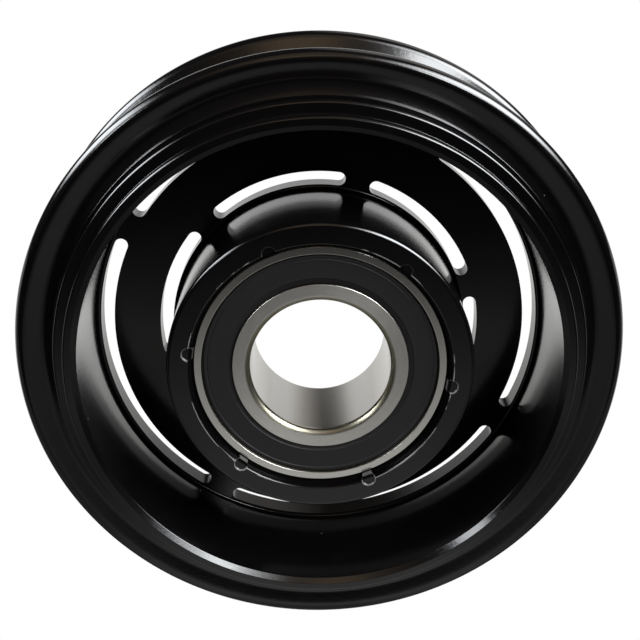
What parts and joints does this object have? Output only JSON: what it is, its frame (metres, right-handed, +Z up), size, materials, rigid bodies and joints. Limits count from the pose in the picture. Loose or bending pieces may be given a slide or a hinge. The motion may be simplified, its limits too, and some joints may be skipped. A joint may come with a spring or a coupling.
{
  "type": "electromagnetic clutch rotor pulley",
  "caption": "Rotor and grooved belt pulley of an electromagnetic clutch, with slotted friction disc, coil cavity and staked sealed ball bearing.",
  "frame": {"origin": "centre of the bearing bore, halfway along the bearing", "axes": "+Y along the spin axis from the coil side towards the friction face, +Z up, +X to the right as seen from the coil side"},
  "size_m": [0.132, 0.0374, 0.132],
  "materials": {
    "black_coat": "gloss black electrocoat on steel",
    "bearing_steel": "ground bearing steel",
    "seal_rubber": "matt moulded nitrile rubber",
    "plate_steel": "bare stamped sheet steel",
    "cage_nylon": "natural moulded nylon",
    "ball_steel": "polished bearing balls"
  },
  "bodies": {
    "inner_ring": {"bearing_inner_ring": "bearing_steel"},
    "wheel": {"rotor": "black_coat", "pulley_rim": "black_coat", "bearing_outer_ring": "bearing_steel", "rear_seal": "seal_rubber", "rear_seal_plate": "plate_steel", "front_seal": "seal_rubber", "front_seal_plate": "plate_steel"},
    "rear_cage": {"rear_cage": "cage_nylon"},
    "front_cage": {"front_cage": "cage_nylon"},
    "rear_ball_01": {"rear_ball_01": "ball_steel"},
    "rear_ball_02": {"rear_ball_02": "ball_steel"},
    "rear_ball_03": {"rear_ball_03": "ball_steel"},
    "rear_ball_04": {"rear_ball_04": "ball_steel"},
    "rear_ball_05": {"rear_ball_05": "ball_steel"},
    "rear_ball_06": {"rear_ball_06": "ball_steel"},
    "rear_ball_07": {"rear_ball_07": "ball_steel"},
    "rear_ball_08": {"rear_ball_08": "ball_steel"},
    "rear_ball_09": {"rear_ball_09": "ball_steel"},
    "rear_ball_10": {"rear_ball_10": "ball_steel"},
    "rear_ball_11": {"rear_ball_11": "ball_steel"},
    "rear_ball_12": {"rear_ball_12": "ball_steel"},
    "rear_ball_13": {"rear_ball_13": "ball_steel"},
    "rear_ball_14": {"rear_ball_14": "ball_steel"},
    "front_ball_01": {"front_ball_01": "ball_steel"},
    "front_ball_02": {"front_ball_02": "ball_steel"},
    "front_ball_03": {"front_ball_03": "ball_steel"},
    "front_ball_04": {"front_ball_04": "ball_steel"},
    "front_ball_05": {"front_ball_05": "ball_steel"},
    "front_ball_06": {"front_ball_06": "ball_steel"},
    "front_ball_07": {"front_ball_07": "ball_steel"},
    "front_ball_08": {"front_ball_08": "ball_steel"},
    "front_ball_09": {"front_ball_09": "ball_steel"},
    "front_ball_10": {"front_ball_10": "ball_steel"},
    "front_ball_11": {"front_ball_11": "ball_steel"},
    "front_ball_12": {"front_ball_12": "ball_steel"},
    "front_ball_13": {"front_ball_13": "ball_steel"},
    "front_ball_14": {"front_ball_14": "ball_steel"}
  },
  "joints": [
    {"name": "wheel_spin", "type": "hinge", "parent": "inner_ring", "child": "wheel", "pos_m": [0, 0, 0], "axis": [0, 1, 0], "continuous": true},
    {"name": "rear_cage_orbit", "type": "hinge", "parent": "inner_ring", "child": "rear_cage", "pos_m": [0, -0.0046, 0], "axis": [0, 1, 0], "continuous": true},
    {"name": "front_cage_orbit", "type": "hinge", "parent": "inner_ring", "child": "front_cage", "pos_m": [0, 0.0046, 0], "axis": [0, 1, 0], "continuous": true},
    {"name": "rear_ball_01_roll", "type": "hinge", "parent": "rear_cage", "child": "rear_ball_01", "pos_m": [0.02135, -0.0046, 0], "axis": [0, 1, 0], "continuous": true},
    {"name": "rear_ball_02_roll", "type": "hinge", "parent": "rear_cage", "child": "rear_ball_02", "pos_m": [0.01924, -0.0046, 0.00926], "axis": [0, 1, 0], "continuous": true},
    {"name": "rear_ball_03_roll", "type": "hinge", "parent": "rear_cage", "child": "rear_ball_03", "pos_m": [0.01331, -0.0046, 0.01669], "axis": [0, 1, 0], "continuous": true},
    {"name": "rear_ball_04_roll", "type": "hinge", "parent": "rear_cage", "child": "rear_ball_04", "pos_m": [0.00475, -0.0046, 0.02081], "axis": [0, 1, 0], "continuous": true},
    {"name": "rear_ball_05_roll", "type": "hinge", "parent": "rear_cage", "child": "rear_ball_05", "pos_m": [-0.00475, -0.0046, 0.02081], "axis": [0, 1, 0], "continuous": true},
    {"name": "rear_ball_06_roll", "type": "hinge", "parent": "rear_cage", "child": "rear_ball_06", "pos_m": [-0.01331, -0.0046, 0.01669], "axis": [0, 1, 0], "continuous": true},
    {"name": "rear_ball_07_roll", "type": "hinge", "parent": "rear_cage", "child": "rear_ball_07", "pos_m": [-0.01924, -0.0046, 0.00926], "axis": [0, 1, 0], "continuous": true},
    {"name": "rear_ball_08_roll", "type": "hinge", "parent": "rear_cage", "child": "rear_ball_08", "pos_m": [-0.02135, -0.0046, 0], "axis": [0, 1, 0], "continuous": true},
    {"name": "rear_ball_09_roll", "type": "hinge", "parent": "rear_cage", "child": "rear_ball_09", "pos_m": [-0.01924, -0.0046, -0.00926], "axis": [0, 1, 0], "continuous": true},
    {"name": "rear_ball_10_roll", "type": "hinge", "parent": "rear_cage", "child": "rear_ball_10", "pos_m": [-0.01331, -0.0046, -0.01669], "axis": [0, 1, 0], "continuous": true},
    {"name": "rear_ball_11_roll", "type": "hinge", "parent": "rear_cage", "child": "rear_ball_11", "pos_m": [-0.00475, -0.0046, -0.02081], "axis": [0, 1, 0], "continuous": true},
    {"name": "rear_ball_12_roll", "type": "hinge", "parent": "rear_cage", "child": "rear_ball_12", "pos_m": [0.00475, -0.0046, -0.02081], "axis": [0, 1, 0], "continuous": true},
    {"name": "rear_ball_13_roll", "type": "hinge", "parent": "rear_cage", "child": "rear_ball_13", "pos_m": [0.01331, -0.0046, -0.01669], "axis": [0, 1, 0], "continuous": true},
    {"name": "rear_ball_14_roll", "type": "hinge", "parent": "rear_cage", "child": "rear_ball_14", "pos_m": [0.01924, -0.0046, -0.00926], "axis": [0, 1, 0], "continuous": true},
    {"name": "front_ball_01_roll", "type": "hinge", "parent": "front_cage", "child": "front_ball_01", "pos_m": [0.02081, 0.0046, 0.00475], "axis": [0, 1, 0], "continuous": true},
    {"name": "front_ball_02_roll", "type": "hinge", "parent": "front_cage", "child": "front_ball_02", "pos_m": [0.01669, 0.0046, 0.01331], "axis": [0, 1, 0], "continuous": true},
    {"name": "front_ball_03_roll", "type": "hinge", "parent": "front_cage", "child": "front_ball_03", "pos_m": [0.00926, 0.0046, 0.01924], "axis": [0, 1, 0], "continuous": true},
    {"name": "front_ball_04_roll", "type": "hinge", "parent": "front_cage", "child": "front_ball_04", "pos_m": [0, 0.0046, 0.02135], "axis": [0, 1, 0], "continuous": true},
    {"name": "front_ball_05_roll", "type": "hinge", "parent": "front_cage", "child": "front_ball_05", "pos_m": [-0.00926, 0.0046, 0.01924], "axis": [0, 1, 0], "continuous": true},
    {"name": "front_ball_06_roll", "type": "hinge", "parent": "front_cage", "child": "front_ball_06", "pos_m": [-0.01669, 0.0046, 0.01331], "axis": [0, 1, 0], "continuous": true},
    {"name": "front_ball_07_roll", "type": "hinge", "parent": "front_cage", "child": "front_ball_07", "pos_m": [-0.02081, 0.0046, 0.00475], "axis": [0, 1, 0], "continuous": true},
    {"name": "front_ball_08_roll", "type": "hinge", "parent": "front_cage", "child": "front_ball_08", "pos_m": [-0.02081, 0.0046, -0.00475], "axis": [0, 1, 0], "continuous": true},
    {"name": "front_ball_09_roll", "type": "hinge", "parent": "front_cage", "child": "front_ball_09", "pos_m": [-0.01669, 0.0046, -0.01331], "axis": [0, 1, 0], "continuous": true},
    {"name": "front_ball_10_roll", "type": "hinge", "parent": "front_cage", "child": "front_ball_10", "pos_m": [-0.00926, 0.0046, -0.01924], "axis": [0, 1, 0], "continuous": true},
    {"name": "front_ball_11_roll", "type": "hinge", "parent": "front_cage", "child": "front_ball_11", "pos_m": [0, 0.0046, -0.02135], "axis": [0, 1, 0], "continuous": true},
    {"name": "front_ball_12_roll", "type": "hinge", "parent": "front_cage", "child": "front_ball_12", "pos_m": [0.00926, 0.0046, -0.01924], "axis": [0, 1, 0], "continuous": true},
    {"name": "front_ball_13_roll", "type": "hinge", "parent": "front_cage", "child": "front_ball_13", "pos_m": [0.01669, 0.0046, -0.01331], "axis": [0, 1, 0], "continuous": true},
    {"name": "front_ball_14_roll", "type": "hinge", "parent": "front_cage", "child": "front_ball_14", "pos_m": [0.02081, 0.0046, -0.00475], "axis": [0, 1, 0], "continuous": true}
  ],
  "couplings": [
    {"joint": "rear_cage_orbit", "follows": "wheel_spin", "ratio": 0.58365},
    {"joint": "front_cage_orbit", "follows": "wheel_spin", "ratio": 0.58365},
    {"joint": "rear_ball_01_roll", "follows": "wheel_spin", "ratio": 2.9049},
    {"joint": "rear_ball_02_roll", "follows": "wheel_spin", "ratio": 2.9049},
    {"joint": "rear_ball_03_roll", "follows": "wheel_spin", "ratio": 2.9049},
    {"joint": "rear_ball_04_roll", "follows": "wheel_spin", "ratio": 2.9049},
    {"joint": "rear_ball_05_roll", "follows": "wheel_spin", "ratio": 2.9049},
    {"joint": "rear_ball_06_roll", "follows": "wheel_spin", "ratio": 2.9049},
    {"joint": "rear_ball_07_roll", "follows": "wheel_spin", "ratio": 2.9049},
    {"joint": "rear_ball_08_roll", "follows": "wheel_spin", "ratio": 2.9049},
    {"joint": "rear_ball_09_roll", "follows": "wheel_spin", "ratio": 2.9049},
    {"joint": "rear_ball_10_roll", "follows": "wheel_spin", "ratio": 2.9049},
    {"joint": "rear_ball_11_roll", "follows": "wheel_spin", "ratio": 2.9049},
    {"joint": "rear_ball_12_roll", "follows": "wheel_spin", "ratio": 2.9049},
    {"joint": "rear_ball_13_roll", "follows": "wheel_spin", "ratio": 2.9049},
    {"joint": "rear_ball_14_roll", "follows": "wheel_spin", "ratio": 2.9049},
    {"joint": "front_ball_01_roll", "follows": "wheel_spin", "ratio": 2.9049},
    {"joint": "front_ball_02_roll", "follows": "wheel_spin", "ratio": 2.9049},
    {"joint": "front_ball_03_roll", "follows": "wheel_spin", "ratio": 2.9049},
    {"joint": "front_ball_04_roll", "follows": "wheel_spin", "ratio": 2.9049},
    {"joint": "front_ball_05_roll", "follows": "wheel_spin", "ratio": 2.9049},
    {"joint": "front_ball_06_roll", "follows": "wheel_spin", "ratio": 2.9049},
    {"joint": "front_ball_07_roll", "follows": "wheel_spin", "ratio": 2.9049},
    {"joint": "front_ball_08_roll", "follows": "wheel_spin", "ratio": 2.9049},
    {"joint": "front_ball_09_roll", "follows": "wheel_spin", "ratio": 2.9049},
    {"joint": "front_ball_10_roll", "follows": "wheel_spin", "ratio": 2.9049},
    {"joint": "front_ball_11_roll", "follows": "wheel_spin", "ratio": 2.9049},
    {"joint": "front_ball_12_roll", "follows": "wheel_spin", "ratio": 2.9049},
    {"joint": "front_ball_13_roll", "follows": "wheel_spin", "ratio": 2.9049},
    {"joint": "front_ball_14_roll", "follows": "wheel_spin", "ratio": 2.9049}
  ]
}
